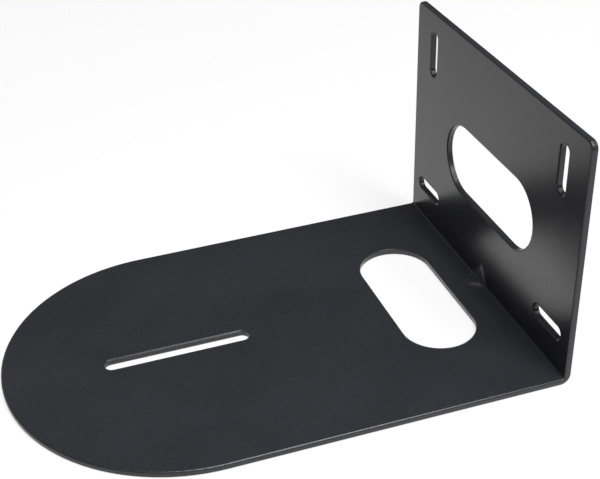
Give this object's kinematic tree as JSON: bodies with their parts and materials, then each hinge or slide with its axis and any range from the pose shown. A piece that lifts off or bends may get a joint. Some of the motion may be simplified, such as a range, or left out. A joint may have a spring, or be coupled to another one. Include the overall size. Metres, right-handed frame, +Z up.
{
  "type": "camera wall mount",
  "caption": "Folded steel sheet bracket: a slotted plate screws to the wall, and a shelf with a half-round nose and a long slot carries a camera. Large rounded windows pass cables.",
  "frame": {"origin": "on the plate's wall face, midway between the lower two wall screw slots", "axes": "+X along the fold, +Y out of the wall face into the wall, +Z up, square to the shelf; the shelf reaches towards -Y"},
  "size_m": [0.165, 0.242, 0.1215],
  "materials": {
    "powder_coat": "satin"
  },
  "bodies": {
    "root": {"folded_bracket": "powder_coat"}
  },
  "joints": []
}
